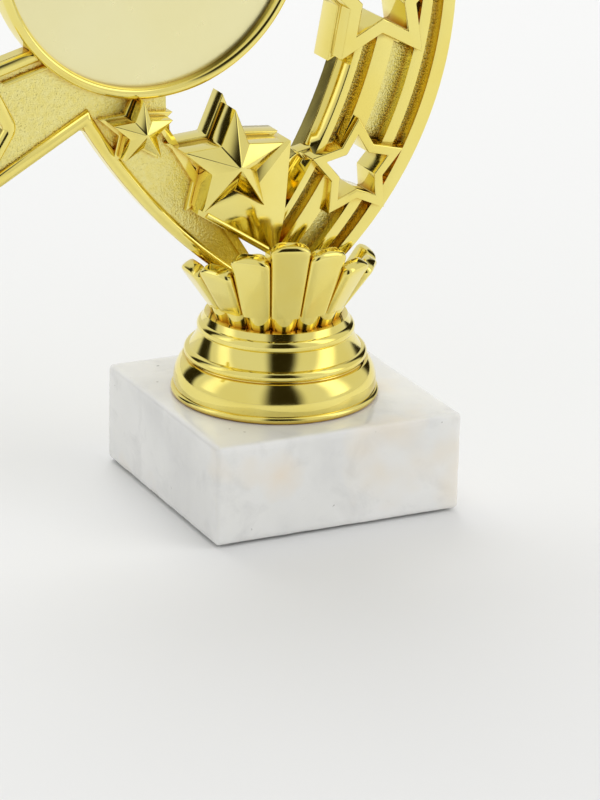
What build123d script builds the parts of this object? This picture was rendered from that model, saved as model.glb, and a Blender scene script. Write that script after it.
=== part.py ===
"""Star trophy: a gold plastic figure with a dished emblem holder, a ribbed comet tail, a granular
streamer and five stars, standing in a petal crown on a stepped riser, bolted to a marble block.

Millimetres, +Z up, +X to the right, the figure faces -Y.
The origin is the centre of the base's underside. The bolt's play in the block's bore lets the
riser and all above it sit a little to the left of the block's centre.
"""

from build123d import *
from math import cos, radians, sin, sqrt
import os

os.makedirs("parts", exist_ok=True)

# Block and pad
BLOCK_SIDE = 50.0
BLOCK_HEIGHT = 19.0
BLOCK_EDGE = 0.7
PAD_SIDE = 46.0
PAD_THICKNESS = 0.5

# Bolt line: M5 bolt, penny washer and nut on the riser's axis
SHANK_RADIUS = 2.5
SHANK_HOLE = 2.75
HEAD_HEIGHT = 3.5
HEAD_FLATS = 8.0
WASHER_RADIUS = 8.0
WASHER_THICKNESS = 1.2
BLOCK_BORE = 4.4
COUNTERBORE_RADIUS = 10.0
COUNTERBORE_DEPTH = 8.0
NUT_HEIGHT = 4.0
FIT_GAP = 0.05

# Places of the riser and of the figure's features, to the right of the block's centre
RISER_OFFSET = -1.75
FIGURE_OFFSET = -1.25

# Heights of the stack
BLOCK_TOP = PAD_THICKNESS + BLOCK_HEIGHT
RISER_TOP = BLOCK_TOP + 15.5
CROWN_FLOOR = RISER_TOP + 3.8
FOOT_TOP = CROWN_FLOOR + 3.0
NUT_LEDGE = FOOT_TOP - 6.0

# Riser and crown
RISER_RADIUS = 19.5
RISER_WALL = 2.0
SPIGOT_RADIUS = 6.5
HUB_RADIUS = 9.0
NECK_RADIUS = 13.6
NECK_FLUTE = 2.6
NECK_DRAFT = 0.9
FOOT_RADIUS = 10.3
PETAL_COUNT = 15
PETAL_FIRST = 180.0
PETAL_REAR = 41.0
PETAL_LOW = 45.8
PETAL_HIGH = 53.2
PETAL_TALL_SIDE = -105.0
PETAL_TOP_RADIUS = 19.0
PETAL_THICKNESS = 2.5
PETAL_TIP_RISE = 0.6
PETAL_HOLLOW = 0.25
PETAL_ROOT = 2.0
PETAL_GAP = 0.08

# Depths along Y, front to back
FIELD_Y = -0.2
RIM_Y = -1.5
PANEL_BACK = 2.5
TAIL_FRONT = -4.0
TAIL_FLOOR = -1.5
TAIL_BACK = 1.0
FLANGE_BACK = 4.5
DISC_FRONT = -3.0
DISC_FLOOR = -1.0

# Emblem holder
DISC_CENTRE = (-27.4, 109.4)
DISC_RADIUS = 30.0
DISC_OPENING = 28.0
DISC_MIDDLE = (DISC_RADIUS + DISC_OPENING) / 2

# Comet tail: the band between two circles
TAIL_OUTER_CENTRE = (-35.8, 95.6)
TAIL_OUTER_RADIUS = 68.8
TAIL_INNER_CENTRE = (-80.9, 111.4)
TAIL_INNER_RADIUS = 97.0
TAIL_TOP = 138.0
TAIL_LEFT = -2.5
TAIL_FLANGE = 2.0
FLANGE_STEP = 0.4
RIB_BOUNDS = ((0.0, 0.07), (0.20, 0.38), (0.62, 0.735), (0.86, 1.0))

# Stars: centre, tip radius, notch radius as a share of the tip radius, width of the band
OPEN_STARS = {
    "lower": dict(centre=(12.9, 62.6), radius=9.9, notch=0.56, band=1.7, back=2.0),
    "upper": dict(centre=(17.3, 95.2), radius=14.2, notch=0.50, band=2.4, back=4.5),
}
OPEN_STAR_FRONT = -5.5
OPEN_STAR_STEP = -1.5
STEP_GROWTH = 0.6
FACET_NOTCH = 0.45
FACET_STARS = {
    "large": dict(centre=(-12.8, 66.7), radius=10.4, front=-7.0, step=-1.3, back=3.0, peak=3.0),
    "small": dict(centre=(-30.0, 73.9), radius=6.1, front=-5.0, step=-1.5, back=1.5, peak=1.8),
    "head": dict(centre=(8.0, 139.5), radius=17.0, front=-7.0, step=-1.3, back=2.0, peak=4.5),
}

# Faceted wedge under the large star, from its left corner round by its bottom point
WEDGE_FRONT = -4.2
WEDGE_BACK = 2.0
WEDGE_APEX = (-9.8, -6.6, 60.0)
WEDGE_CORNERS = (
    (-18.8, 57.2),
    (-3.0, 47.0),
    (-1.9, 51.5),
    (-1.2, 55.0),
    (-0.2, 69.2),
    (-12.8, 66.7),
    (-17.5, 63.8),
)

# Bar from the emblem ring to the upper outline star
BRIDGE_FRONT = -2.0
BRIDGE_CORNERS = ((-2.0, 97.0), (8.0, 97.6), (8.0, 100.4), (-2.0, 102.0))

# Streamer: a leg with a curved left edge and an arm with a swallow tail
LEG_EDGE_CENTRE = (57.5, 134.6)
LEG_EDGE_RADIUS = 114.3
LEG_EDGE_WAIST = 60.0
NOTCH_HEIGHT = 74.8
LEG_RIGHT_LOW = (-3.4, FOOT_TOP)
LEG_RIGHT_HIGH = (-23.4, 73.0)
BEHIND_DISC = (-24.0, 88.0)
ARM_UPPER_RIGHT = (-44.0, 91.8)
ARM_UPPER_TIP = (-60.8, 87.0)
ARM_VEE = (-55.2, 76.3)
ARM_LOWER_TIP = (-65.2, 60.0)
TIP_ROUND = 1.4
VEE_ROUND = 0.8
NOTCH_ROUND = 1.5
RIM_WIDTH = 2.5
RIGHT_RIM_WIDTH = 1.5
UPPER_RIM_WIDTH = 4.6
UPPER_GROOVE = (2.9, 3.5)
UPPER_GROOVE_Y = -0.8


def flat(profile, front, back):
    """A plate of the profile, drawn in X and Z, between the depths front and back."""
    return extrude(Plane.XZ.offset(-back) * profile, amount=back - front)


def star_points(centre, radius, notch, turn=0.0):
    """The ten corners of an upright five-pointed star."""
    reach = (radius, radius * notch)
    return [
        (
            centre[0] + reach[k % 2] * cos(radians(90 + turn + 36 * k)),
            centre[1] + reach[k % 2] * sin(radians(90 + turn + 36 * k)),
        )
        for k in range(10)
    ]


def star_face(centre, radius, notch, turn=0.0):
    return Polygon(*star_points(centre, radius, notch, turn), align=None)


def blunt(face, centre, cut, turn=0.0):
    """The star with its tips cut square at the given distance from its centre."""
    cutter = RegularPolygon(cut, 5, major_radius=False, rotation=90 + turn)
    return face & (Pos(*centre) * cutter)


def band_circle(share):
    """The circle at a share of the way across the tail, from its inner to its outer edge."""
    centre = [
        inner + share * (outer - inner)
        for inner, outer in zip(TAIL_INNER_CENTRE, TAIL_OUTER_CENTRE)
    ]
    radius = TAIL_INNER_RADIUS + share * (TAIL_OUTER_RADIUS - TAIL_INNER_RADIUS)
    return centre, radius


def band_between(share_in, share_out, low, high, grow=0.0):
    """The part of the tail's band between two shares of its width and two heights."""
    centre_in, radius_in = band_circle(share_in)
    centre_out, radius_out = band_circle(share_out)
    band = Pos(*centre_out) * Circle(radius_out + grow) - Pos(*centre_in) * Circle(radius_in - grow)
    window = Pos(TAIL_LEFT + 30, (low + high) / 2) * Rectangle(60, high - low)
    return band & window


# Base -------------------------------------------------------------------------------------------


def base_pad():
    return extrude(RectangleRounded(PAD_SIDE, PAD_SIDE, 2.0), amount=PAD_THICKNESS)


def marble_block():
    block = Pos(0, 0, PAD_THICKNESS) * Box(
        BLOCK_SIDE, BLOCK_SIDE, BLOCK_HEIGHT, align=(Align.CENTER, Align.CENTER, Align.MIN)
    )
    block = fillet(block.edges(), BLOCK_EDGE)
    bore = Cylinder(BLOCK_BORE, 60)
    counterbore = Pos(0, 0, PAD_THICKNESS) * Cylinder(
        COUNTERBORE_RADIUS, COUNTERBORE_DEPTH, align=(Align.CENTER, Align.CENTER, Align.MIN)
    )
    return block - bore - counterbore


SEAT = PAD_THICKNESS + COUNTERBORE_DEPTH


def bolt_washer():
    ring = Circle(WASHER_RADIUS) - Circle(SHANK_HOLE)
    return extrude(Pos(0, 0, SEAT - WASHER_THICKNESS) * ring, amount=WASHER_THICKNESS)


def tie_bolt():
    head_top = SEAT - WASHER_THICKNESS
    head = extrude(
        Pos(0, 0, head_top - HEAD_HEIGHT) * RegularPolygon(HEAD_FLATS / 2, 6, major_radius=False),
        amount=HEAD_HEIGHT,
    )
    head = chamfer(head.faces().sort_by(Axis.Z)[0].edges(), 0.5)
    shank_top = NUT_LEDGE + NUT_HEIGHT + 1.0
    shank = extrude(Pos(0, 0, head_top) * Circle(SHANK_RADIUS), amount=shank_top - head_top)
    shank = chamfer(shank.faces().sort_by(Axis.Z)[-1].edges(), 0.4)
    return head + shank


def captive_nut():
    outline = RegularPolygon(HEAD_FLATS / 2, 6, major_radius=False)
    hole = Circle(SHANK_RADIUS + FIT_GAP)
    return extrude(Pos(0, 0, NUT_LEDGE) * (outline - hole), amount=NUT_HEIGHT)


# Riser and crown --------------------------------------------------------------------------------


def riser_bell():
    """A revolved bell: lip, band, bead, band, bead and a short slope up to the neck."""
    base = BLOCK_TOP
    outer = [
        Line((0, base), (RISER_RADIUS, base)),
        Line((RISER_RADIUS, base), (RISER_RADIUS, base + 0.7)),
        ThreePointArc((RISER_RADIUS, base + 0.7), (19.3, base + 1.25), (18.9, base + 1.4)),
        ThreePointArc((18.9, base + 1.4), (18.8, base + 4.3), (17.4, base + 7.0)),
        Line((17.4, base + 7.0), (16.7, base + 7.2)),
        ThreePointArc((16.7, base + 7.2), (17.2, base + 8.2), (16.1, base + 9.2)),
        ThreePointArc((16.1, base + 9.2), (15.2, base + 10.6), (14.5, base + 12.2)),
        ThreePointArc((14.5, base + 12.2), (14.75, base + 13.3), (14.0, base + 14.3)),
        Line((14.0, base + 14.3), (13.4, RISER_TOP)),
        Line((13.4, RISER_TOP), (0, RISER_TOP)),
        Line((0, RISER_TOP), (0, base)),
    ]
    body = revolve(Plane.XZ * make_face(outer), Axis.Z)
    hollow = [
        (HUB_RADIUS, base),
        (RISER_RADIUS - RISER_WALL, base),
        (16.0, base + 5.5),
        (13.2, base + 9.5),
        (12.0, RISER_TOP - 2.5),
        (HUB_RADIUS, RISER_TOP - 2.5),
    ]
    body -= revolve(Plane.XZ * Polygon(*hollow, align=None), Axis.Z)
    return body - Pos(0, 0, base) * Cylinder(SPIGOT_RADIUS, 80)


def petal_top(angle):
    """The height of a tongue: tallest at the front, level at the sides, short at the rear."""
    if sin(radians(angle)) > 0.1:
        return PETAL_REAR
    return PETAL_LOW + (PETAL_HIGH - PETAL_LOW) * cos(radians(angle - PETAL_TALL_SIDE)) ** 4


def petal_reach(top):
    """The radius at a tongue's tip: the short rear tongues lean as much as the side ones."""
    share = min(1.0, (top - CROWN_FLOOR) / (PETAL_LOW - CROWN_FLOOR))
    return NECK_RADIUS + (PETAL_TOP_RADIUS - NECK_RADIUS) * share


def petal_section(top):
    """A tongue cut through its middle: an upright root, then a slight curve outward."""
    reach = petal_reach(top)
    root = RISER_TOP + PETAL_ROOT
    inner = NECK_RADIUS - PETAL_THICKNESS
    middle = (NECK_RADIUS + reach) / 2 - PETAL_HOLLOW
    halfway = (CROWN_FLOOR + top) / 2
    tip = (reach - PETAL_THICKNESS, top + PETAL_TIP_RISE)
    edges = [
        Line((inner, root), (NECK_RADIUS, root)),
        Line((NECK_RADIUS, root), (NECK_RADIUS, CROWN_FLOOR)),
        ThreePointArc((NECK_RADIUS, CROWN_FLOOR), (middle, halfway), (reach, top)),
        Line((reach, top), tip),
        ThreePointArc(tip, (middle - PETAL_THICKNESS, halfway), (inner, CROWN_FLOOR)),
        Line((inner, CROWN_FLOOR), (inner, root)),
    ]
    return make_face(edges)


def petal(angle):
    """One tongue of the crown: it leans outward and ends in a round top."""
    top = petal_top(angle)
    half_step = 180 / PETAL_COUNT
    sweep = half_step - PETAL_GAP
    wedge = Rot(0, 0, -sweep) * revolve(Plane.XZ * petal_section(top), Axis.Z, 2 * sweep)
    half_width = petal_reach(top) * sin(radians(half_step)) - PETAL_GAP
    round_height = top + PETAL_TIP_RISE - half_width
    low = (Align.CENTER, Align.MIN)
    tongue = Pos(0, round_height) * Circle(half_width)
    tongue += Rectangle(2 * half_width, round_height, align=low)
    prism = extrude(Plane.YZ * tongue, amount=2 * PETAL_TOP_RADIUS)
    return Rot(0, 0, angle) * (wedge & prism)


def petal_crown():
    """A fluted neck that widens upward, with a ring of tongues on it."""
    neck_height = CROWN_FLOOR - RISER_TOP
    low = (Align.CENTER, Align.CENTER, Align.MIN)
    core_top = NECK_RADIUS - NECK_DRAFT
    crown = Pos(0, 0, RISER_TOP) * Cone(core_top - NECK_DRAFT, core_top, neck_height, align=low)
    flute = Pos(NECK_RADIUS - NECK_FLUTE, 0, RISER_TOP) * Cone(
        NECK_FLUTE - NECK_DRAFT, NECK_FLUTE, neck_height, align=low
    )
    for k in range(PETAL_COUNT):
        angle = PETAL_FIRST + k * 360 / PETAL_COUNT
        crown += Rot(0, 0, angle) * flute
        crown += petal(angle)
    return crown - Cylinder(SPIGOT_RADIUS, 200)


def figure_foot():
    """The hidden root of the figure: a disc in the crown, with a spigot that holds the nut."""
    disc = extrude(Pos(0, 0, CROWN_FLOOR) * Circle(FOOT_RADIUS), amount=FOOT_TOP - CROWN_FLOOR)
    spigot_low = NUT_LEDGE - 5.0
    spigot = extrude(
        Pos(0, 0, spigot_low) * Circle(SPIGOT_RADIUS - FIT_GAP), amount=CROWN_FLOOR - spigot_low
    )
    pocket = extrude(
        Pos(0, 0, NUT_LEDGE) * RegularPolygon(HEAD_FLATS / 2 + FIT_GAP, 6, major_radius=False),
        amount=FOOT_TOP - NUT_LEDGE,
    )
    return disc + spigot - pocket - Cylinder(SHANK_HOLE, 200)


# Streamer ---------------------------------------------------------------------------------------


def leg_edge_point(height):
    """The point of the leg's curved left edge at a height."""
    drop = LEG_EDGE_CENTRE[1] - height
    return (LEG_EDGE_CENTRE[0] - sqrt(LEG_EDGE_RADIUS**2 - drop**2), height)


NOTCH = leg_edge_point(NOTCH_HEIGHT)
LEG_EDGE_MIDDLE = leg_edge_point(LEG_EDGE_WAIST)
LEG_EDGE_LOW = leg_edge_point(FOOT_TOP)


def stroke(start, end, width):
    """A straight strip centred on a line, run on past both ends by its own width."""
    along = (Vector(*end) - Vector(*start)).normalized() * width
    across = Vector(-along.Y, along.X)
    low = Vector(*start) - along
    high = Vector(*end) + along
    corners = (low - across, high - across, high + across, low + across)
    return Polygon(*[(p.X, p.Y) for p in corners], align=None)


def streamer_outline():
    """An arm that flares to a swallow tail on the left, and a leg that runs down into the crown."""
    corners = (
        LEG_EDGE_LOW,
        LEG_RIGHT_LOW,
        LEG_RIGHT_HIGH,
        BEHIND_DISC,
        ARM_UPPER_RIGHT,
        ARM_UPPER_TIP,
        ARM_VEE,
        ARM_LOWER_TIP,
        NOTCH,
    )
    edges = [Line(start, end) for start, end in zip(corners, corners[1:])]
    outline = Sketch() + make_face([*edges, ThreePointArc(NOTCH, LEG_EDGE_MIDDLE, LEG_EDGE_LOW)])
    rounds = (
        (ARM_UPPER_TIP, TIP_ROUND),
        (ARM_VEE, VEE_ROUND),
        (ARM_LOWER_TIP, TIP_ROUND),
        (NOTCH, NOTCH_ROUND),
    )
    for corner, radius in rounds:
        nearest = min(outline.vertices(), key=lambda v: (v.X - corner[0]) ** 2 + (v.Y - corner[1]) ** 2)
        outline = fillet(nearest, radius)
    return outline


def streamer_pockets():
    """The sunk fields of the arm and the leg, inside their raised borders."""
    inside_leg = (2 * NOTCH[0] - ARM_LOWER_TIP[0], 2 * NOTCH[1] - ARM_LOWER_TIP[1])
    arm_corners = (
        ARM_LOWER_TIP,
        inside_leg,
        BEHIND_DISC,
        ARM_UPPER_RIGHT,
        ARM_UPPER_TIP,
        ARM_VEE,
    )
    arm = offset(Polygon(*arm_corners, align=None), -RIM_WIDTH, kind=Kind.INTERSECTION)
    leg_corners = (
        (LEG_EDGE_LOW[0], 0),
        (LEG_RIGHT_LOW[0], 0),
        LEG_RIGHT_LOW,
        LEG_RIGHT_HIGH,
        BEHIND_DISC,
        (NOTCH[0] - 2 * RIM_WIDTH, BEHIND_DISC[1]),
        (NOTCH[0] - 2 * RIM_WIDTH, 0),
    )
    inner_edge = Pos(*LEG_EDGE_CENTRE) * Circle(LEG_EDGE_RADIUS - RIM_WIDTH)
    leg = inner_edge & Polygon(*leg_corners, align=None)
    rims = stroke(LEG_RIGHT_LOW, LEG_RIGHT_HIGH, RIGHT_RIM_WIDTH)
    rims += stroke(ARM_UPPER_RIGHT, ARM_UPPER_TIP, UPPER_RIM_WIDTH)
    return arm + leg - rims


def upper_groove():
    """The line sunk along the arm's wide upper border."""
    outer, inner = UPPER_GROOVE
    line = stroke(ARM_UPPER_RIGHT, ARM_UPPER_TIP, inner) - stroke(ARM_UPPER_RIGHT, ARM_UPPER_TIP, outer)
    window = Pos(*ARM_VEE) * Rectangle(60, 40, align=(Align.MIN, Align.CENTER))
    return line & window


def streamer():
    outline = streamer_outline()
    panel = flat(outline, FIELD_Y, PANEL_BACK)
    border = flat(outline - streamer_pockets(), RIM_Y, FIELD_Y)
    return panel + border - flat(upper_groove(), RIM_Y, UPPER_GROOVE_Y)


# Emblem holder ----------------------------------------------------------------------------------


def emblem_ring():
    """The half-round rim of the dish, with a plain wall inside it."""
    shoulder = -DISC_FRONT - 0.9
    back = -PANEL_BACK
    section = [
        Line((DISC_OPENING, back), (DISC_OPENING, shoulder)),
        ThreePointArc((DISC_OPENING, shoulder), (DISC_MIDDLE, -DISC_FRONT), (DISC_RADIUS, shoulder)),
        Line((DISC_RADIUS, shoulder), (DISC_RADIUS, back)),
        Line((DISC_RADIUS, back), (DISC_OPENING, back)),
    ]
    ring = revolve(Plane.XZ * make_face(section), Axis.Z)
    return Pos(DISC_CENTRE[0], 0, DISC_CENTRE[1]) * Rot(90, 0, 0) * ring


def emblem_plate():
    return flat(Pos(*DISC_CENTRE) * Circle(DISC_OPENING), DISC_FLOOR, PANEL_BACK - 1.0)


# Comet tail -------------------------------------------------------------------------------------


def hole_face(s):
    """The opening in an outline star: the star drawn in by its band's width."""
    return offset(star_face(s["centre"], s["radius"], s["notch"]), -s["band"], kind=Kind.INTERSECTION)


def comet_tail():
    """A curved plate with four ribs on its front, and a flange along both edges of its back."""
    plate = flat(band_between(0, 1, FOOT_TOP, TAIL_TOP), TAIL_FLOOR, TAIL_BACK)
    flange = band_between(0, 1, FOOT_TOP, TAIL_TOP, FLANGE_STEP) - band_between(
        0, 1, FOOT_TOP, TAIL_TOP, -TAIL_FLANGE
    )
    tail = plate + flat(flange, TAIL_BACK, FLANGE_BACK)
    for share_in, share_out in RIB_BOUNDS:
        tail += flat(band_between(share_in, share_out, FOOT_TOP, TAIL_TOP), TAIL_FRONT, TAIL_FLOOR)
    return tail


def open_star(s):
    """A flat outline star in front of a slightly larger one with blunt tips."""
    face = star_face(s["centre"], s["radius"], s["notch"])
    grown = offset(face, STEP_GROWTH, kind=Kind.INTERSECTION)
    hole = hole_face(s)
    front = flat(face - hole, OPEN_STAR_FRONT, OPEN_STAR_STEP)
    back = flat(blunt(grown, s["centre"], s["radius"] + STEP_GROWTH) - hole, OPEN_STAR_STEP, s["back"])
    return front + back


# Solid faceted stars ----------------------------------------------------------------------------


def facet_star(centre, radius, front, step, peak, turn=0.0):
    """A star whose ten facets rise to a peak, on a straight body."""
    face = star_face(centre, radius, FACET_NOTCH, turn)
    base = Plane.XZ.offset(-front) * face
    cap = loft([base.face(), Vertex(centre[0], front - peak, centre[1])], ruled=True)
    return flat(face, front, step) + cap


def facet_base(centre, radius, step, back, turn=0.0):
    """The slightly larger plate behind a faceted star, with blunt tips."""
    grown = offset(star_face(centre, radius, FACET_NOTCH, turn), STEP_GROWTH, kind=Kind.INTERSECTION)
    return flat(blunt(grown, centre, radius + STEP_GROWTH, turn), step, back)


def star_wedge():
    """The faceted tail under the large star: its ridge runs down to a point in the crown."""
    outline = Polygon(*WEDGE_CORNERS, align=None)
    facets = loft([(Plane.XZ.offset(-WEDGE_FRONT) * outline).face(), Vertex(*WEDGE_APEX)], ruled=True)
    return flat(outline, WEDGE_FRONT, WEDGE_BACK) + facets


def disc_bridge():
    """A short bar from the emblem ring to the nearest tip of the upper outline star."""
    return flat(Polygon(*BRIDGE_CORNERS, align=None), BRIDGE_FRONT, PANEL_BACK)


# Assembly: what stands in front cuts a seat in what it stands on -----------------------------------


def disc_space():
    disc = Pos(*DISC_CENTRE) * Circle(DISC_RADIUS)
    return flat(disc, DISC_FRONT, FLANGE_BACK)


def assemble():
    nodes = {
        "base_pad": base_pad(),
        "marble_block": marble_block(),
        "bolt_washer": bolt_washer(),
        "tie_bolt": tie_bolt(),
        "captive_nut": captive_nut(),
        "riser_bell": riser_bell(),
        "petal_crown": petal_crown(),
        "figure_foot": figure_foot(),
        "emblem_ring": emblem_ring(),
        "emblem_plate": emblem_plate(),
    }
    seats = []
    for name, s in FACET_STARS.items():
        star = facet_star(s["centre"], s["radius"], s["front"], s["step"], s["peak"])
        base = facet_base(s["centre"], s["radius"], s["step"], s["back"])
        nodes[f"{name}_star"] = star - disc_space()
        nodes[f"{name}_star_base"] = base - disc_space()
        seats += [star, base]
    for name, s in OPEN_STARS.items():
        star = open_star(s)
        nodes[f"open_star_{name}"] = star
        seats += [star, flat(hole_face(s), OPEN_STAR_FRONT, FLANGE_BACK)]
    wedge = star_wedge() - seats
    nodes["star_wedge"] = wedge
    nodes["disc_bridge"] = disc_bridge() - seats - disc_space()
    seats += [wedge, disc_space()]
    nodes["streamer"] = streamer() - seats
    nodes["comet_tail"] = comet_tail() - seats - nodes["disc_bridge"] - nodes["streamer"]
    return nodes


BASE_NODES = ("base_pad", "marble_block")
RISER_NODES = ("bolt_washer", "tie_bolt", "captive_nut", "riser_bell", "petal_crown", "figure_foot")


def place(name):
    """How far a node sits to the right of the block's centre."""
    if name in BASE_NODES:
        return 0.0
    return RISER_OFFSET if name in RISER_NODES else FIGURE_OFFSET


for name, shape in assemble().items():
    export_step(Pos(place(name), 0, 0) * shape, f"parts/{name}.step")
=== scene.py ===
from math import atan2, cos, degrees, hypot, pi, radians, sin, sqrt, tan

import bmesh
import bpy
from mathutils import Matrix, Vector, noise


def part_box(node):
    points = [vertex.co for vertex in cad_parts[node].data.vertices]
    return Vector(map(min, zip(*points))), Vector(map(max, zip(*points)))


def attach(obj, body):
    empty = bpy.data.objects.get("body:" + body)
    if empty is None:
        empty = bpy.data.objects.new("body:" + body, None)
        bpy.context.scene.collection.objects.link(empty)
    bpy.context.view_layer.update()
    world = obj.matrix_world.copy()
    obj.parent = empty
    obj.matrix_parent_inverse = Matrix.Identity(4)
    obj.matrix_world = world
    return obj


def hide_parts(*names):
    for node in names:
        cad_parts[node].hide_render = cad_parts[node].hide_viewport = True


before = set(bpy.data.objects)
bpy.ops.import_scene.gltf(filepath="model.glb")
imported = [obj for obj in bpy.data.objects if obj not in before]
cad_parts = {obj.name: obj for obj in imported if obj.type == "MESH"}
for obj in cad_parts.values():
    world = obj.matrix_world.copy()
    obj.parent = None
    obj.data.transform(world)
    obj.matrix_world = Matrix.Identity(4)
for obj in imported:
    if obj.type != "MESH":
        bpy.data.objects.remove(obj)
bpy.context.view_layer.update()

MM = 0.001
BODY = "root"

# ------------------------------------------------------------------------------------------------
# Places and sizes, read from the frame
# ------------------------------------------------------------------------------------------------

BLOCK_LOW, BLOCK_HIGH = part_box("marble_block")
RISER_LOW, RISER_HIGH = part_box("riser_bell")
CROWN_LOW, CROWN_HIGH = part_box("petal_crown")
_, FOOT_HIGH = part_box("figure_foot")
RING_LOW, RING_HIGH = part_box("emblem_ring")
PLATE_LOW, PLATE_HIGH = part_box("emblem_plate")
STREAMER_LOW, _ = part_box("streamer")
TAIL_LOW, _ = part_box("comet_tail")

NECK_HEIGHT = 3.8 * MM
DISC_OUT = 27.4 * MM
RIM_HEIGHT = 1.3 * MM
TAIL_DEPTH = 2.5 * MM
SPIGOT_HOLE = 6.5 * MM

AXIS = Vector(((RISER_LOW.x + RISER_HIGH.x) / 2, (RISER_LOW.y + RISER_HIGH.y) / 2, 0))
RISER_TOP = RISER_HIGH.z
BLOCK_TOP = BLOCK_HIGH.z
CROWN_RADIUS = AXIS.y - CROWN_LOW.y
CROWN_FLOOR = RISER_TOP + NECK_HEIGHT
FOOT_TOP = FOOT_HIGH.z
DISC_CENTRE = Vector(((RING_LOW.x + RING_HIGH.x) / 2, 0, (RING_LOW.z + RING_HIGH.z) / 2))
FIGURE_X = DISC_CENTRE.x + DISC_OUT
DISC_RADIUS = (RING_HIGH.x - RING_LOW.x) / 2
DISC_OPENING = (PLATE_HIGH.x - PLATE_LOW.x) / 2
DISC_FLOOR = PLATE_LOW.y
RIM_Y = STREAMER_LOW.y
FIELD_Y = RIM_Y + RIM_HEIGHT
TAIL_FRONT = TAIL_LOW.y
TAIL_FLOOR = TAIL_FRONT + TAIL_DEPTH

# ------------------------------------------------------------------------------------------------
# Materials
# ------------------------------------------------------------------------------------------------


MIX_FACTOR = 0
MIX_FROM = 6
MIX_TO = 7
MIX_RESULT = 2


class Nodes:
    """A small helper that adds and links shader nodes in one material."""

    def __init__(self, name):
        self.material = bpy.data.materials.new(name)
        self.material.use_nodes = True
        self.tree = self.material.node_tree
        self.tree.nodes.clear()
        self.shader = self.add("ShaderNodeBsdfPrincipled")
        output = self.add("ShaderNodeOutputMaterial")
        self.link(self.shader.outputs["BSDF"], output.inputs["Surface"])
        self.place = self.add("ShaderNodeTexCoord").outputs["Object"]

    def add(self, kind, **settings):
        node = self.tree.nodes.new(kind)
        for key, value in settings.items():
            setattr(node, key, value)
        return node

    def link(self, source, target):
        self.tree.links.new(source, target)

    def noise(self, scale, detail=2.0, roughness=0.5, distortion=0.0, stretch=None):
        node = self.add("ShaderNodeTexNoise")
        node.inputs["Scale"].default_value = scale
        node.inputs["Detail"].default_value = detail
        node.inputs["Roughness"].default_value = roughness
        node.inputs["Distortion"].default_value = distortion
        place = self.place
        if stretch:
            mapping = self.add("ShaderNodeMapping")
            mapping.inputs["Scale"].default_value = stretch
            self.link(place, mapping.inputs["Vector"])
            place = mapping.outputs["Vector"]
        self.link(place, node.inputs["Vector"])
        return node.outputs["Fac"]

    def uneven(self, source, factor):
        """A value scaled, with some noise added."""
        node = self.add("ShaderNodeMath", operation="MULTIPLY_ADD")
        rough = self.add("ShaderNodeMath", operation="MULTIPLY")
        self.link(self.noise(330, 3), rough.inputs[0])
        rough.inputs[1].default_value = 0.5
        self.link(source, node.inputs[0])
        node.inputs[1].default_value = factor
        self.link(rough.outputs[0], node.inputs[2])
        return node.outputs[0]

    def ramp(self, source, *stops):
        """A colour ramp: stops are (position, colour or grey)."""
        node = self.add("ShaderNodeValToRGB")
        elements = node.color_ramp.elements
        while len(elements) < len(stops):
            elements.new(0.5)
        for element, (position, value) in zip(elements, stops):
            element.position = position
            grey = isinstance(value, (int, float))
            element.color = (value, value, value, 1) if grey else (*value, 1)
        self.link(source, node.inputs["Fac"])
        return node.outputs["Color"]

    def mix(self, factor, source, colour):
        """The source's colour, turned toward a fixed colour by the factor."""
        node = self.add("ShaderNodeMix", data_type="RGBA")
        self.link(factor, node.inputs[MIX_FACTOR])
        self.link(source, node.inputs[MIX_FROM])
        node.inputs[MIX_TO].default_value = (*colour, 1)
        return node.outputs[MIX_RESULT]

    def bump(self, height, strength, distance, normal=None):
        node = self.add("ShaderNodeBump")
        node.inputs["Strength"].default_value = strength
        node.inputs["Distance"].default_value = distance
        self.link(height, node.inputs["Height"])
        if normal is not None:
            self.link(normal, node.inputs["Normal"])
        return node.outputs["Normal"]

    def set(self, **values):
        """Sets or links inputs of the principled shader by name, with _ for a space."""
        for key, value in values.items():
            socket = self.shader.inputs[key.replace("_", " ")]
            if isinstance(value, bpy.types.NodeSocket):
                self.link(value, socket)
            else:
                socket.default_value = value


GOLD = (0.92, 0.80, 0.25)
GOLD_WARM = (0.90, 0.75, 0.19)
GOLD_PALE = (0.94, 0.85, 0.34)
# Deep amber used as painted shade in crevices, in place of inter-reflections and contact shadow
GOLD_PAINTED_SHADE = (0.62, 0.36, 0.04)


def with_painted_crevice_shade(nodes, tint, reach, low, high):
    """The tint turned to deep amber in crevices found by ambient occlusion: painted shade standing in
    for the darker inter-reflections and contact shadow there.
    """
    shade = nodes.add("ShaderNodeAmbientOcclusion", samples=8)
    shade.inputs["Distance"].default_value = reach
    cover = nodes.ramp(shade.outputs["AO"], (low, 1.0), (high, 0.0))
    return nodes.mix(cover, tint, GOLD_PAINTED_SHADE)


def bright_gold():
    """Vacuum metallised plastic: a mirror with a faint moulding ripple and thin spots of haze."""
    nodes = Nodes("bright_gold")
    tint = nodes.ramp(nodes.noise(60, 3), (0.35, GOLD_WARM), (0.6, GOLD))
    haze = nodes.ramp(nodes.noise(220, 4, 0.6), (0.35, 0.08), (0.75, 0.15))
    ripple = nodes.bump(nodes.noise(140, 1.5), 0.06, 0.0006)
    # Painted shade: the tint turns deep amber where ambient occlusion finds crevices
    tint = with_painted_crevice_shade(nodes, tint, 2.4 * MM, 0.25, 0.75)
    nodes.set(Base_Color=tint, Metallic=1.0, Roughness=haze, Normal=ripple)
    return nodes.material


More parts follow.
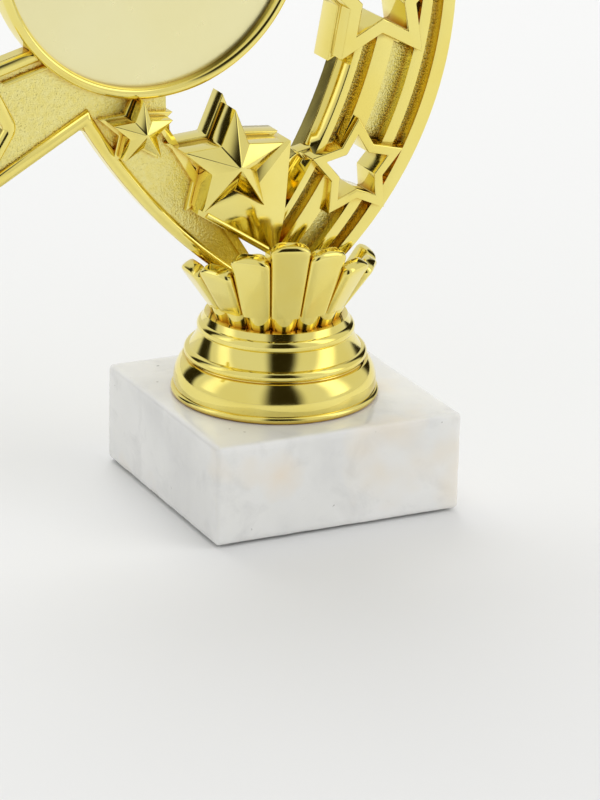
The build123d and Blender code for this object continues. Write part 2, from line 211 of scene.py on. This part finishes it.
def satin_gold():
    """The flat floor of the emblem holder."""
    nodes = Nodes("satin_gold")
    tint = nodes.ramp(nodes.noise(40, 3), (0.3, (0.92, 0.85, 0.45)), (0.7, (0.94, 0.88, 0.51)))
    haze = nodes.ramp(nodes.noise(400, 4, 0.7), (0.3, 0.27), (0.7, 0.32))
    brushed = nodes.bump(nodes.noise(2500, 2), 0.05, 0.0001)
    # Painted shade: the tint turns deep amber where ambient occlusion finds crevices
    tint = with_painted_crevice_shade(nodes, tint, 1.6 * MM, 0.2, 0.65)
    nodes.set(Base_Color=tint, Metallic=1.0, Roughness=haze, Normal=brushed)
    return nodes.material


def grain_gold():
    """The sand-blasted fields: the same plating over a finely pebbled mould surface."""
    nodes = Nodes("grain_gold")
    tint = nodes.ramp(nodes.noise(900, 3, 0.6), (0.3, GOLD), (0.65, GOLD_PALE))
    # Painted shade: the tint turns deep amber where ambient occlusion finds crevices
    tint = with_painted_crevice_shade(nodes, tint, 2.6 * MM, 0.25, 0.75)
    cells = nodes.add("ShaderNodeTexVoronoi")
    cells.inputs["Scale"].default_value = 2900
    nodes.link(nodes.place, cells.inputs["Vector"])
    coarse = nodes.bump(nodes.noise(1900, 2, 0.6), 0.45, 0.00022)
    fine = nodes.bump(cells.outputs["Distance"], 0.4, 0.00016, coarse)
    nodes.set(Base_Color=tint, Metallic=1.0, Roughness=0.30, Normal=fine)
    return nodes.material


STAIN_PLACE = (BLOCK_LOW.x + 13 * MM, BLOCK_LOW.y, BLOCK_LOW.z + 12 * MM)
STAIN_SIZE = 7.5 * MM


def marble():
    """Polished white marble: broad soft clouds, faint smudges, warm patches and tiny pits."""
    nodes = Nodes("marble")
    clouds = nodes.noise(26, 5, 0.55, 0.5)
    cloudy = nodes.ramp(
        clouds,
        (0.30, (0.70, 0.70, 0.69)),
        (0.50, (0.82, 0.82, 0.80)),
        (0.70, (0.88, 0.875, 0.855)),
    )
    smudges = nodes.ramp(nodes.noise(120, 6, 0.6, 0.4), (0.52, 0.0), (0.74, 0.55))
    smudged = nodes.mix(smudges, cloudy, (0.62, 0.62, 0.61))
    warm = nodes.ramp(nodes.noise(48, 3, 0.5), (0.55, 0.0), (0.70, 0.60))
    stained = nodes.mix(warm, smudged, (0.84, 0.75, 0.61))
    spot = nodes.add("ShaderNodeVectorMath", operation="DISTANCE")
    nodes.link(nodes.place, spot.inputs[0])
    spot.inputs[1].default_value = STAIN_PLACE
    patch = nodes.ramp(nodes.uneven(spot.outputs["Value"], 1 / STAIN_SIZE), (0.25, 0.75), (0.95, 0.0))
    stained = nodes.mix(patch, stained, (0.86, 0.76, 0.62))
    pits = nodes.ramp(nodes.noise(520, 2, 0.4), (0.75, 0.0), (0.78, 1.0))
    pitted = nodes.mix(pits, stained, (0.38, 0.37, 0.35))
    gloss = nodes.ramp(clouds, (0.3, 0.10), (0.7, 0.22))
    relief = nodes.bump(pits, -0.4, 0.0003)
    nodes.set(Base_Color=pitted, Roughness=gloss, Normal=relief, IOR=1.5)
    nodes.set(Subsurface_Weight=0.15, Subsurface_Radius=(0.004, 0.004, 0.0035), Subsurface_Scale=1.0)
    return nodes.material


def zinc_steel():
    nodes = Nodes("zinc_steel")
    tint = nodes.ramp(nodes.noise(300, 4), (0.3, (0.50, 0.50, 0.50)), (0.7, (0.66, 0.66, 0.64)))
    haze = nodes.ramp(nodes.noise(900, 3, stretch=(1, 1, 0.05)), (0.3, 0.25), (0.7, 0.42))
    nodes.set(Base_Color=tint, Metallic=1.0, Roughness=haze)
    return nodes.material


def black_felt():
    nodes = Nodes("black_felt")
    fibres = nodes.noise(3000, 4, 0.7, 0.8)
    tint = nodes.ramp(fibres, (0.3, (0.015, 0.016, 0.016)), (0.7, (0.05, 0.052, 0.05)))
    nodes.set(Base_Color=tint, Roughness=0.95, Normal=nodes.bump(fibres, 0.6, 0.0004))
    return nodes.material


def white_floor():
    nodes = Nodes("white_floor")
    tint = nodes.ramp(nodes.noise(3, 2), (0.3, (0.81, 0.815, 0.81)), (0.7, (0.825, 0.825, 0.825)))
    nodes.set(Base_Color=tint, Roughness=0.8)
    return nodes.material


BRIGHT = bright_gold()
SATIN = satin_gold()
GRAIN = grain_gold()
MARBLE = marble()
STEEL = zinc_steel()
FELT = black_felt()

# ------------------------------------------------------------------------------------------------
# Mesh helpers
# ------------------------------------------------------------------------------------------------


def finish_piece(name, mesh, materials, replaced, smooth=radians(28)):
    """Makes a mesh an object that rides on the body and stands for its CAD nodes."""
    piece = bpy.data.objects.new(name, mesh)
    bpy.context.scene.collection.objects.link(piece)
    for material in materials:
        mesh.materials.append(material)
    bpy.context.view_layer.objects.active = piece
    piece.select_set(True)
    bpy.ops.object.shade_smooth_by_angle(angle=smooth)
    piece.select_set(False)
    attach(piece, BODY)
    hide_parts(*replaced)
    return piece


def to_mesh(name, bm):
    bmesh.ops.recalc_face_normals(bm, faces=bm.faces)
    mesh = bpy.data.meshes.new(name)
    bm.to_mesh(mesh)
    bm.free()
    return mesh


def lathe(bm, profile, segments, fluting=None):
    """Turns a closed (radius, height) profile about Z; fluting(angle, radius) may give other radii."""
    rings = []
    for k in range(segments):
        angle = 2 * pi * k / segments
        ring = []
        for radius, height in profile:
            r = fluting(angle, radius) if fluting else radius
            ring.append(bm.verts.new((r * cos(angle), r * sin(angle), height)))
        rings.append(ring)
    for k in range(segments):
        here, there = rings[k], rings[(k + 1) % segments]
        for i in range(len(profile)):
            j = (i + 1) % len(profile)
            bm.faces.new((here[i], there[i], there[j], here[j]))


def arc(start, middle, end, steps):
    """Points along the circle through three points, without the first."""
    (ax, ay), (bx, by), (cx, cy) = start, middle, end
    d = 2 * (ax * (by - cy) + bx * (cy - ay) + cx * (ay - by))
    a, b, c = (x * x + y * y for x, y in (start, middle, end))
    ux = (a * (by - cy) + b * (cy - ay) + c * (ay - by)) / d
    uy = (a * (cx - bx) + b * (ax - cx) + c * (bx - ax)) / d
    radius = hypot(ax - ux, ay - uy)
    first, mid, last = (atan2(y - uy, x - ux) for x, y in (start, middle, end))
    turn = (last - first) % (2 * pi)
    if (mid - first) % (2 * pi) > turn:
        turn -= 2 * pi
    return [
        (ux + radius * cos(first + turn * k / steps), uy + radius * sin(first + turn * k / steps))
        for k in range(1, steps + 1)
    ]


def add_tube(bm, rings):
    """Skins a row of matching closed rings and closes both ends."""
    count = len(rings[0])
    for here, there in zip(rings, rings[1:]):
        for k in range(count):
            j = (k + 1) % count
            bm.faces.new((here[k], here[j], there[j], there[k]))
    bm.faces.new(rings[0])
    bm.faces.new(rings[-1])


def copy_of(node, flatness=radians(1.0)):
    """The CAD node's mesh as clean polygons: welded, with its flat triangles joined."""
    bm = bmesh.new()
    bm.from_mesh(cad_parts[node].data)
    bmesh.ops.remove_doubles(bm, verts=bm.verts, dist=0.002 * MM)
    bmesh.ops.dissolve_limit(bm, angle_limit=flatness, verts=bm.verts, edges=bm.edges)
    return bm


SHARP_ANGLE = radians(20)
EDGE_SLACK = 0.05 * MM
FACE_SLACK = 0.1 * MM


def round_edges(bm, width, chosen=None, segments=3):
    """Bevels the sharp edges, or those that chosen(edge) picks."""
    edges = [
        e
        for e in bm.edges
        if len(e.link_faces) == 2
        and e.calc_face_angle(0) > SHARP_ANGLE
        and (chosen is None or chosen(e))
    ]
    bmesh.ops.bevel(
        bm,
        geom=edges,
        offset=width,
        offset_type="OFFSET",
        segments=segments,
        profile=0.5,
        affect="EDGES",
        clamp_overlap=True,
    )


def front_edges_at(depth):
    return lambda e: all(abs(v.co.y - depth) < EDGE_SLACK for v in e.verts)


def grain_faces(bm, depth):
    """Gives the second material to flat faces at a depth that look forward."""
    for face in bm.faces:
        if face.normal.y < -0.9 and abs(face.calc_center_median().y - depth) < FACE_SLACK:
            face.material_index = 1


# ------------------------------------------------------------------------------------------------
# Base
# ------------------------------------------------------------------------------------------------


BLOCK_BEVEL = 0.9 * MM
BLOCK_CUTS = 60
WEAR_BAND = 1.0 * MM
WEAR_DEPTH = 0.06 * MM


def build_block():
    """The stone: a box with rounded edges, which small chips and wear make uneven."""
    bm = bmesh.new()
    bmesh.ops.create_cube(bm, size=1.0)
    size = BLOCK_HIGH - BLOCK_LOW
    middle = (BLOCK_HIGH + BLOCK_LOW) / 2
    for v in bm.verts:
        v.co = middle + Vector((v.co.x * size.x, v.co.y * size.y, v.co.z * size.z))
    bmesh.ops.bevel(bm, geom=bm.edges[:], offset=BLOCK_BEVEL, segments=4, profile=0.5, affect="EDGES")
    long_edges = [e for e in bm.edges if e.calc_length() > 10 * MM]
    bmesh.ops.subdivide_edges(bm, edges=long_edges, cuts=BLOCK_CUTS, use_grid_fill=True)
    for v in bm.verts:
        inward = middle - v.co
        edge_wear = noise.noise(v.co * 260) * 0.10 * MM + noise.noise(v.co * 900) * 0.05 * MM
        near_edges = sum(abs(abs(v.co[i] - middle[i]) - size[i] / 2) < WEAR_BAND for i in range(3))
        if near_edges >= 2:
            v.co += inward.normalized() * max(0.0, edge_wear + WEAR_DEPTH)
    mesh = to_mesh("marble_block_stone", bm)
    finish_piece("marble_block_stone", mesh, [MARBLE], ["marble_block"])


def build_riser():
    """The stepped bell: lip, band, bead, band, bead and a short slope."""
    base = BLOCK_TOP / MM
    top = RISER_TOP / MM
    hole = SPIGOT_HOLE / MM
    profile = [(hole, base), (18.9, base)]
    profile += arc((18.9, base), (19.32, base + 0.15), (19.5, base + 0.55), 5)
    profile += arc((19.5, base + 0.55), (19.4, base + 1.15), (18.95, base + 1.4), 6)
    profile += arc((18.95, base + 1.4), (18.8, base + 4.3), (17.4, base + 7.0), 14)
    profile += [(16.85, base + 7.15), (16.75, base + 7.3)]
    profile += arc((16.75, base + 7.3), (17.15, base + 8.25), (16.1, base + 9.2), 14)
    profile += arc((16.1, base + 9.2), (15.2, base + 10.6), (14.5, base + 12.2), 10)
    profile += arc((14.5, base + 12.2), (14.75, base + 13.3), (14.0, base + 14.3), 12)
    profile += [(13.6, top - 0.5), (13.4, top), (hole, top)]
    bm = bmesh.new()
    lathe(bm, [(r * MM, z * MM) for r, z in profile], 192)
    bmesh.ops.translate(bm, verts=bm.verts, vec=AXIS)
    mesh = to_mesh("riser_bell_plated", bm)
    finish_piece("riser_bell_plated", mesh, [BRIGHT], ["riser_bell"])


# ------------------------------------------------------------------------------------------------
# Crown
# ------------------------------------------------------------------------------------------------

PETALS = 15
PETAL_LOW = 46.4 * MM
PETAL_HIGH = CROWN_HIGH.z
PETAL_REAR = 41.6 * MM
TALL_SIDE = radians(-105)
NECK_RADIUS = 13.6 * MM
PETAL_HALF_THICKNESS = 1.45 * MM
PETAL_WALL = 26
PETAL_ROWS = 26
CAP_ROWS = 11
PETAL_SPREAD = tan(pi / PETALS) * 1.01
SLIVER = 0.02 * MM
FLUTE_DEPTH = 1.1 * MM
NECK_INSET = 0.1 * MM
NECK_LEAN = 1.3 * MM
NECK_STEPS = 6


def petal_top(angle):
    if sin(angle) > 0.1:
        return PETAL_REAR
    return PETAL_LOW + (PETAL_HIGH - PETAL_LOW) * cos(angle - TALL_SIDE) ** 4


def petal_rings(angle):
    """The closed cross-sections of one tongue, from its root to its rounded tip."""
    top = petal_top(angle)
    low = Vector((NECK_RADIUS - PETAL_HALF_THICKNESS, CROWN_FLOOR - 0.3 * MM))
    reach = min(1.0, (top - CROWN_FLOOR) / (PETAL_LOW - CROWN_FLOOR))
    tip_radius = NECK_RADIUS + (CROWN_RADIUS - NECK_RADIUS) * reach
    high = Vector((tip_radius - PETAL_HALF_THICKNESS * 0.92, top))
    along = (high - low).normalized()
    across = Vector((along.y, -along.x))
    cap = min(0.6, high.x * PETAL_SPREAD * 0.62 / (high - low).length)
    shares = [(1 - cap) * k / PETAL_ROWS for k in range(PETAL_ROWS)]
    shares += [1 - cap + cap * sin(pi / 2 * k / CAP_ROWS) for k in range(CAP_ROWS + 1)]
    rings = []
    for share in shares:
        middle = low.lerp(high, share)
        into_cap = max(0.0, (share - 1 + cap) / cap)
        width = middle.x * PETAL_SPREAD * max(0.0, 1 - into_cap**3.0) ** 0.5 + SLIVER
        thickness = PETAL_HALF_THICKNESS * max(0.0, 1 - into_cap**6) ** 0.5 + SLIVER
        ring = []
        for k in range(PETAL_WALL):
            turn = 2 * pi * k / PETAL_WALL
            sideways = width * abs(cos(turn)) ** 0.30 * (1 if cos(turn) > 0 else -1)
            outward = thickness * abs(sin(turn)) ** 0.8 * (1 if sin(turn) > 0 else -1)
            place = middle + across * outward
            flat_place = Vector((place.x, sideways * place.x / max(middle.x, MM), place.y))
            ring.append(AXIS + Matrix.Rotation(angle, 3, "Z") @ flat_place)
        rings.append(ring)
    return rings


def add_neck(bm):
    """The fluted neck under the tongues: it leans in toward its foot."""

    def fluted(angle, radius):
        if radius == SPIGOT_HOLE:
            return radius
        flute = 1 - abs(cos(PETALS / 2 * (angle - pi))) ** 0.8
        return radius - NECK_INSET - FLUTE_DEPTH * flute

    height = CROWN_FLOOR - RISER_TOP
    shares = [k / NECK_STEPS for k in range(NECK_STEPS + 1)]
    wall = [(NECK_RADIUS - NECK_LEAN * (1 - s), RISER_TOP + height * s) for s in shares]
    first = len(bm.verts)
    lathe(bm, [(SPIGOT_HOLE, RISER_TOP), *wall, (SPIGOT_HOLE, CROWN_FLOOR)], 360, fluted)
    bmesh.ops.translate(bm, verts=bm.verts[:][first:], vec=AXIS)


def build_crown():
    bm = bmesh.new()
    for k in range(PETALS):
        rings = petal_rings(pi + 2 * pi * k / PETALS)
        add_tube(bm, [[bm.verts.new(p) for p in ring] for ring in rings])
    add_neck(bm)
    mesh = to_mesh("petal_crown_plated", bm)
    finish_piece("petal_crown_plated", mesh, [BRIGHT], ["petal_crown"], radians(35))


# ------------------------------------------------------------------------------------------------
# Figure
# ------------------------------------------------------------------------------------------------


def build_ring():
    back = RING_HIGH.y / MM
    front = -RING_LOW.y / MM
    inner, outer = DISC_OPENING / MM, DISC_RADIUS / MM
    shoulder = front - 0.9
    profile = [(inner, -back), (outer - 0.3, -back), (outer, -back + 0.3), (outer, shoulder)]
    profile += arc((outer, shoulder), ((inner + outer) / 2, front), (inner, shoulder), 18)
    bm = bmesh.new()
    lathe(bm, [(r * MM, z * MM) for r, z in profile], 256)
    bmesh.ops.rotate(bm, verts=bm.verts, matrix=Matrix.Rotation(pi / 2, 3, "X"))
    bmesh.ops.translate(bm, verts=bm.verts, vec=DISC_CENTRE)
    mesh = to_mesh("emblem_ring_plated", bm)
    finish_piece("emblem_ring_plated", mesh, [BRIGHT], ["emblem_ring"])


def build_plate():
    """The flat floor of the emblem holder, turned in thin rings and closed at the middle."""
    back = PLATE_HIGH.y
    centre = 0.2 * MM
    bm = bmesh.new()
    steps = 24
    face = [(DISC_OPENING * (1 - k / steps), -DISC_FLOOR) for k in range(steps)]
    lathe(bm, [(centre, -back), (DISC_OPENING, -back), *face, (centre, -DISC_FLOOR)], 128)
    bmesh.ops.rotate(bm, verts=bm.verts, matrix=Matrix.Rotation(pi / 2, 3, "X"))
    bmesh.ops.translate(bm, verts=bm.verts, vec=DISC_CENTRE)
    bmesh.ops.holes_fill(bm, edges=bm.edges, sides=200)
    mesh = to_mesh("emblem_plate_satin", bm)
    finish_piece("emblem_plate_satin", mesh, [SATIN], ["emblem_plate"])


LEG_CENTRE = (57.5, 134.6)
LEG_RADIUS = 114.3
NOTCH_HEIGHT = 74.8
BLADE_LOW = (-3.4, 41.8)
BLADE_HIGH = (-23.4, 73.0)
ARM_CORNERS = ((-42.0, 92.4), (-60.8, 87.0), (-55.2, 76.3), (-65.2, 60.0))
ARM_ROUNDS = (1.4, -0.8, 1.4)
CORNER_STEPS = 6
LEG_STEPS = 40
RIM = 2.5
INNER_RIDGE = (3.5, 4.6)
BLADE_RIM = 1.8


def leg_x(height, inset):
    """Where the leg's curved edge, moved inward by the inset, is at a height."""
    drop = LEG_CENTRE[1] - height
    return LEG_CENTRE[0] - sqrt((LEG_RADIUS - inset) ** 2 - drop**2)


def rounded_corner(corner, before, after, bend, inset):
    """Points round a corner of the border; a bend below zero is an inside corner."""
    spread = (before + after) / (1 + before.dot(after))
    if 0 < bend <= inset:
        return [corner + spread * inset] * (CORNER_STEPS + 1)
    centre = corner + spread * bend
    first = atan2(before.y, before.x)
    turn = (atan2(after.y, after.x) - first + pi) % (2 * pi) - pi
    angles = [first + turn * k / CORNER_STEPS for k in range(CORNER_STEPS + 1)]
    return [centre - Vector((cos(a), sin(a))) * (bend - inset) for a in angles]


def border_path(inset):
    """The streamer's free edge moved inward: along the arm, round its tips and down the leg."""
    notch = Vector((leg_x(NOTCH_HEIGHT, 0), NOTCH_HEIGHT))
    corners = [Vector(c) for c in ARM_CORNERS] + [notch]
    ways = [(b - a).normalized() for a, b in zip(corners, corners[1:])]
    sides = [Vector((-way.y, way.x)) for way in ways]
    start = corners[1] + sides[0] * inset
    disc = Vector(((DISC_CENTRE.x - FIGURE_X) / MM, DISC_CENTRE.z / MM))
    while (start - disc).length > DISC_RADIUS / MM - 0.3:
        start -= ways[0] * 0.05
    path = [start]
    for corner, before, after, bend in zip(corners[1:], sides, sides[1:], ARM_ROUNDS):
        path += rounded_corner(corner, before, after, bend, inset)
    low = corners[-2] + sides[-1] * inset
    high = low + ways[-1] * (notch - corners[-2]).length * 1.5
    for _ in range(30):
        middle = (low + high) / 2
        if middle.x < leg_x(middle.y, inset):
            low = middle
        else:
            high = middle
    top = low.y
    for k in range(LEG_STEPS + 1):
        height = top + (FOOT_TOP / MM - top) * k / LEG_STEPS
        path.append(Vector((leg_x(height, inset), height)))
    return path


def add_bead(bm, paths, heights, count):
    """Stretches a strip over the first points of matching paths; the heights are before the field."""
    grid = [
        [bm.verts.new((FIGURE_X + p.x * MM, FIELD_Y - h * MM, p.y * MM)) for p in path[:count]]
        for path, h in zip(paths, heights)
    ]
    sunk = FIELD_Y + 0.3 * MM
    foot = [[bm.verts.new((v.co.x, sunk, v.co.z)) for v in row] for row in (grid[0], grid[-1])]
    rows = [foot[0], *grid, foot[1]]
    for i, row in enumerate(rows):
        after = rows[(i + 1) % len(rows)]
        for k in range(count - 1):
            bm.faces.new((row[k], row[k + 1], after[k + 1], after[k]))
    bm.faces.new([row[0] for row in rows])
    bm.faces.new([row[-1] for row in rows])


def half_round(low, high, rise, steps=10):
    """Insets and heights of a half-round bead."""
    turns = [pi * (0.04 + 0.92 * k / steps) for k in range(steps + 1)]
    return [((low + high) / 2 - (high - low) / 2 * cos(t), rise * sin(t) ** 0.8) for t in turns]


def beside_blade(v):
    """Whether a point belongs to the rim along the leg's straight right edge."""
    low, high = Vector(BLADE_LOW), Vector(BLADE_HIGH)
    way = (high - low).normalized()
    place = Vector(((v.co.x - FIGURE_X) / MM, v.co.z / MM)) - low
    aside = abs(place.x * way.y - place.y * way.x)
    return aside < BLADE_RIM and place.dot(way) < (high - low).length + 2


def build_streamer():
    bm = copy_of("streamer")
    for v in bm.verts:
        if v.co.y < FIELD_Y - 0.05 * MM and not beside_blade(v):
            v.co.y = FIELD_Y
    bmesh.ops.remove_doubles(bm, verts=bm.verts, dist=0.003 * MM)
    bmesh.ops.dissolve_limit(bm, angle_limit=radians(0.5), verts=bm.verts, edges=bm.edges)
    grain_faces(bm, FIELD_Y)
    rise = (FIELD_Y - RIM_Y) / MM
    main = half_round(0.05, RIM, rise)
    ridge = half_round(*INNER_RIDGE, rise * 0.7, 6)
    for bead, count in ((main, len(border_path(0))), (ridge, 2)):
        paths = [border_path(inset) for inset, _ in bead]
        add_bead(bm, paths, [height for _, height in bead], count)
    bmesh.ops.remove_doubles(bm, verts=bm.verts, dist=0.001 * MM)
    mesh = to_mesh("streamer_plated", bm)
    finish_piece("streamer_plated", mesh, [BRIGHT, GRAIN], ["streamer"])


TAIL_CENTRE = (-35.8, 95.6)
TAIL_RADIUS = 68.8


def on_outer_edge(e):
    """Whether an edge of the tail's front runs along its outer side."""
    place = (e.verts[0].co + e.verts[1].co) / 2
    across = hypot(place.x - FIGURE_X - TAIL_CENTRE[0] * MM, place.z - TAIL_CENTRE[1] * MM)
    return abs(across - TAIL_RADIUS * MM) < 0.12 * MM and abs(place.y - TAIL_FRONT) < 0.05 * MM


def build_tail():
    bm = copy_of("comet_tail", radians(0.3))
    round_edges(bm, 0.8 * MM, on_outer_edge, segments=6)
    round_edges(bm, 0.3 * MM, front_edges_at(TAIL_FRONT))
    grain_faces(bm, TAIL_FLOOR)
    mesh = to_mesh("comet_tail_plated", bm)
    finish_piece("comet_tail_plated", mesh, [BRIGHT, GRAIN], ["comet_tail"])


def build_simple(node, width):
    """A CAD moulding with its edges softened."""
    bm = copy_of(node)
    round_edges(bm, width)
    name = f"{node}_plated"
    finish_piece(name, to_mesh(name, bm), [BRIGHT], [node])


WEDGE_LEFT = (-18.8, 57.2)
WEDGE_POINT = (-3.0, 47.0)
WEDGE_FRONT = -4.2
BEAD_RISE = 0.75
BEAD_HALF_WIDTH = 0.6
BEAD_STEPS = 8


def build_wedge():
    """The faceted tail of the large star, with a thin bead along its lower left edge."""
    bm = copy_of("star_wedge")
    round_edges(bm, 0.2 * MM)
    left, point = Vector(WEDGE_LEFT), Vector(WEDGE_POINT)
    way = (point - left).normalized()
    inward = Vector((-way.y, way.x))
    start, end = left + way * 1.5, point - way * 2.5
    turns = [pi * (0.05 + 0.9 * k / BEAD_STEPS) for k in range(BEAD_STEPS + 1)]
    steps = 12
    rings = []
    for k in range(steps + 1):
        place = start.lerp(end, k / steps)
        ring = []
        for turn in turns:
            p = place + inward * (0.75 - BEAD_HALF_WIDTH * cos(turn))
            y = WEDGE_FRONT - BEAD_RISE * sin(turn)
            ring.append(bm.verts.new((FIGURE_X + p.x * MM, y * MM, p.y * MM)))
        low = place + inward * 1.2
        ring.append(bm.verts.new((FIGURE_X + low.x * MM, (WEDGE_FRONT + 0.6) * MM, low.y * MM)))
        rings.append(ring)
    add_tube(bm, rings)
    mesh = to_mesh("star_wedge_plated", bm)
    finish_piece("star_wedge_plated", mesh, [BRIGHT], ["star_wedge"])


build_block()
build_riser()
build_crown()
build_ring()
build_plate()
build_streamer()
build_tail()
for node in ("large_star", "small_star", "head_star"):
    build_simple(node, 0.2 * MM)
build_wedge()
for node in ("large_star_base", "small_star_base", "head_star_base", "disc_bridge"):
    build_simple(node, 0.22 * MM)
for node in ("open_star_lower", "open_star_upper"):
    build_simple(node, 0.22 * MM)

CAD_MATERIALS = {
    "base_pad": FELT,
    "tie_bolt": STEEL,
    "bolt_washer": STEEL,
    "captive_nut": STEEL,
    "figure_foot": BRIGHT,
}
for node, material in CAD_MATERIALS.items():
    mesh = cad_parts[node].data
    mesh.materials.clear()
    mesh.materials.append(material)

# ------------------------------------------------------------------------------------------------
# Floor, light and camera
# ------------------------------------------------------------------------------------------------

VIEW_AZIMUTH = radians(-26.404)
VIEW_HEIGHT = radians(20.183)
VIEW_ROLL = radians(1.404)
VIEW_DISTANCE = 0.7284
VIEW_LENS = 174.05
AIM_ACROSS = 3.314 * MM
LIGHT_HEIGHT = 0.05
DARK = (0.02, 0.016, 0.006)
AIM = Vector((AIM_ACROSS * cos(VIEW_AZIMUTH), AIM_ACROSS * sin(VIEW_AZIMUTH), 17.163 * MM))


def build_floor():
    bm = bmesh.new()
    bmesh.ops.create_grid(bm, x_segments=8, y_segments=8, size=6.0)
    mesh = to_mesh("studio_floor", bm)
    mesh.materials.append(white_floor())
    floor = bpy.data.objects.new("studio_floor", mesh)
    bpy.context.scene.collection.objects.link(floor)


def build_camera():
    data = bpy.data.cameras.new("camera")
    data.lens = VIEW_LENS
    data.clip_start = 0.01
    camera = bpy.data.objects.new("camera", data)
    bpy.context.scene.collection.objects.link(camera)
    back = Vector(
        (
            sin(VIEW_AZIMUTH) * cos(VIEW_HEIGHT),
            -cos(VIEW_AZIMUTH) * cos(VIEW_HEIGHT),
            sin(VIEW_HEIGHT),
        )
    )
    right = Vector((cos(VIEW_AZIMUTH), sin(VIEW_AZIMUTH), 0))
    up = back.cross(right)
    turned_right = cos(VIEW_ROLL) * right + sin(VIEW_ROLL) * up
    turned_up = cos(VIEW_ROLL) * up - sin(VIEW_ROLL) * right
    place = Matrix((turned_right, turned_up, back)).transposed().to_4x4()
    place.translation = AIM + back * VIEW_DISTANCE
    camera.matrix_world = place
    bpy.context.scene.camera = camera


def card_material(name, colour):
    """A glow that fades out toward the card's edges."""
    material = bpy.data.materials.new(name)
    material.use_nodes = True
    tree = material.node_tree
    tree.nodes.clear()
    glow = tree.nodes.new("ShaderNodeEmission")
    glow.inputs["Color"].default_value = (*colour, 1)
    clear = tree.nodes.new("ShaderNodeBsdfTransparent")
    fade = tree.nodes.new("ShaderNodeAttribute")
    fade.attribute_name = "cover"
    mix = tree.nodes.new("ShaderNodeMixShader")
    output = tree.nodes.new("ShaderNodeOutputMaterial")
    tree.links.new(fade.outputs["Fac"], mix.inputs["Fac"])
    tree.links.new(clear.outputs[0], mix.inputs[1])
    tree.links.new(glow.outputs[0], mix.inputs[2])
    tree.links.new(mix.outputs[0], output.inputs["Surface"])
    return material


def card(name, heading, half_width, low, high, colour, cover, soft, distance=1.2):
    """A curved card that only reflections see; angles in degrees, about Z and above the floor."""
    bm = bmesh.new()
    columns, rows = 28, 14
    grid, covers = [], []
    for i in range(rows + 1):
        elevation = radians(low + (high - low) * i / rows)
        row = []
        for j in range(columns + 1):
            bearing = radians(heading - half_width + 2 * half_width * j / columns)
            out = distance * cos(elevation)
            height = LIGHT_HEIGHT + distance * sin(elevation)
            row.append(bm.verts.new((out * cos(bearing), out * sin(bearing), height)))
            edge = min(1 - abs(2 * j / columns - 1), (1 - i / rows) * 2)
            share = min(1.0, edge / soft)
            covers.append(cover * share * share * (3 - 2 * share))
        grid.append(row)
    for i in range(rows):
        for j in range(columns):
            bm.faces.new((grid[i][j], grid[i][j + 1], grid[i + 1][j + 1], grid[i + 1][j]))
    mesh = bpy.data.meshes.new(name)
    bm.to_mesh(mesh)
    bm.free()
    layer = mesh.attributes.new("cover", "FLOAT", "POINT")
    for k, value in enumerate(covers):
        layer.data[k].value = value
    mesh.materials.append(card_material(name, colour))
    flag = bpy.data.objects.new(name, mesh)
    bpy.context.scene.collection.objects.link(flag)
    flag.visible_camera = False
    flag.visible_diffuse = False
    flag.visible_shadow = False
    flag.visible_transmission = False


def soft_box(name, heading, elevation, distance, size, power):
    light = bpy.data.lights.new(name, "AREA")
    light.shape = "RECTANGLE"
    light.size, light.size_y = size
    light.energy = power
    lamp = bpy.data.objects.new(name, light)
    bpy.context.scene.collection.objects.link(lamp)
    direction = Vector(
        (
            cos(radians(heading)) * cos(radians(elevation)),
            sin(radians(heading)) * cos(radians(elevation)),
            sin(radians(elevation)),
        )
    )
    lamp.location = Vector((0, 0, LIGHT_HEIGHT)) + direction * distance
    lamp.rotation_euler = direction.to_track_quat("Z", "Y").to_euler()
    lamp.visible_glossy = False


def build_world():
    world = bpy.data.worlds.new("studio")
    world.use_nodes = True
    background = world.node_tree.nodes["Background"]
    background.inputs["Color"].default_value = (1.0, 1.0, 0.99, 1)
    background.inputs["Strength"].default_value = 0.75
    bpy.context.scene.world = world


CAMERA_HEADING = degrees(VIEW_AZIMUTH) - 90

build_floor()
build_camera()
build_world()
card("flag_camera", CAMERA_HEADING + 11, 29, -2, 78, DARK, cover=1.0, soft=0.55)
card("flag_left", 129, 15, -2, 50, DARK, cover=1.0, soft=0.5)
card("flag_right", 30, 18, -2, 45, DARK, cover=1.0, soft=0.6)
card("glow_right", -36, 20, 5, 75, (1.7, 1.7, 1.6), cover=0.95, soft=0.8, distance=1.3)
card("glow_left", 165, 16, 5, 75, (1.35, 1.35, 1.3), cover=0.8, soft=0.8, distance=1.3)
soft_box("key_back", heading=85, elevation=52, distance=1.3, size=(0.9, 0.9), power=6.4)
soft_box("fill_right", heading=-40, elevation=35, distance=1.3, size=(0.8, 0.8), power=3.6)

bpy.context.scene.view_settings.view_transform = "Standard"
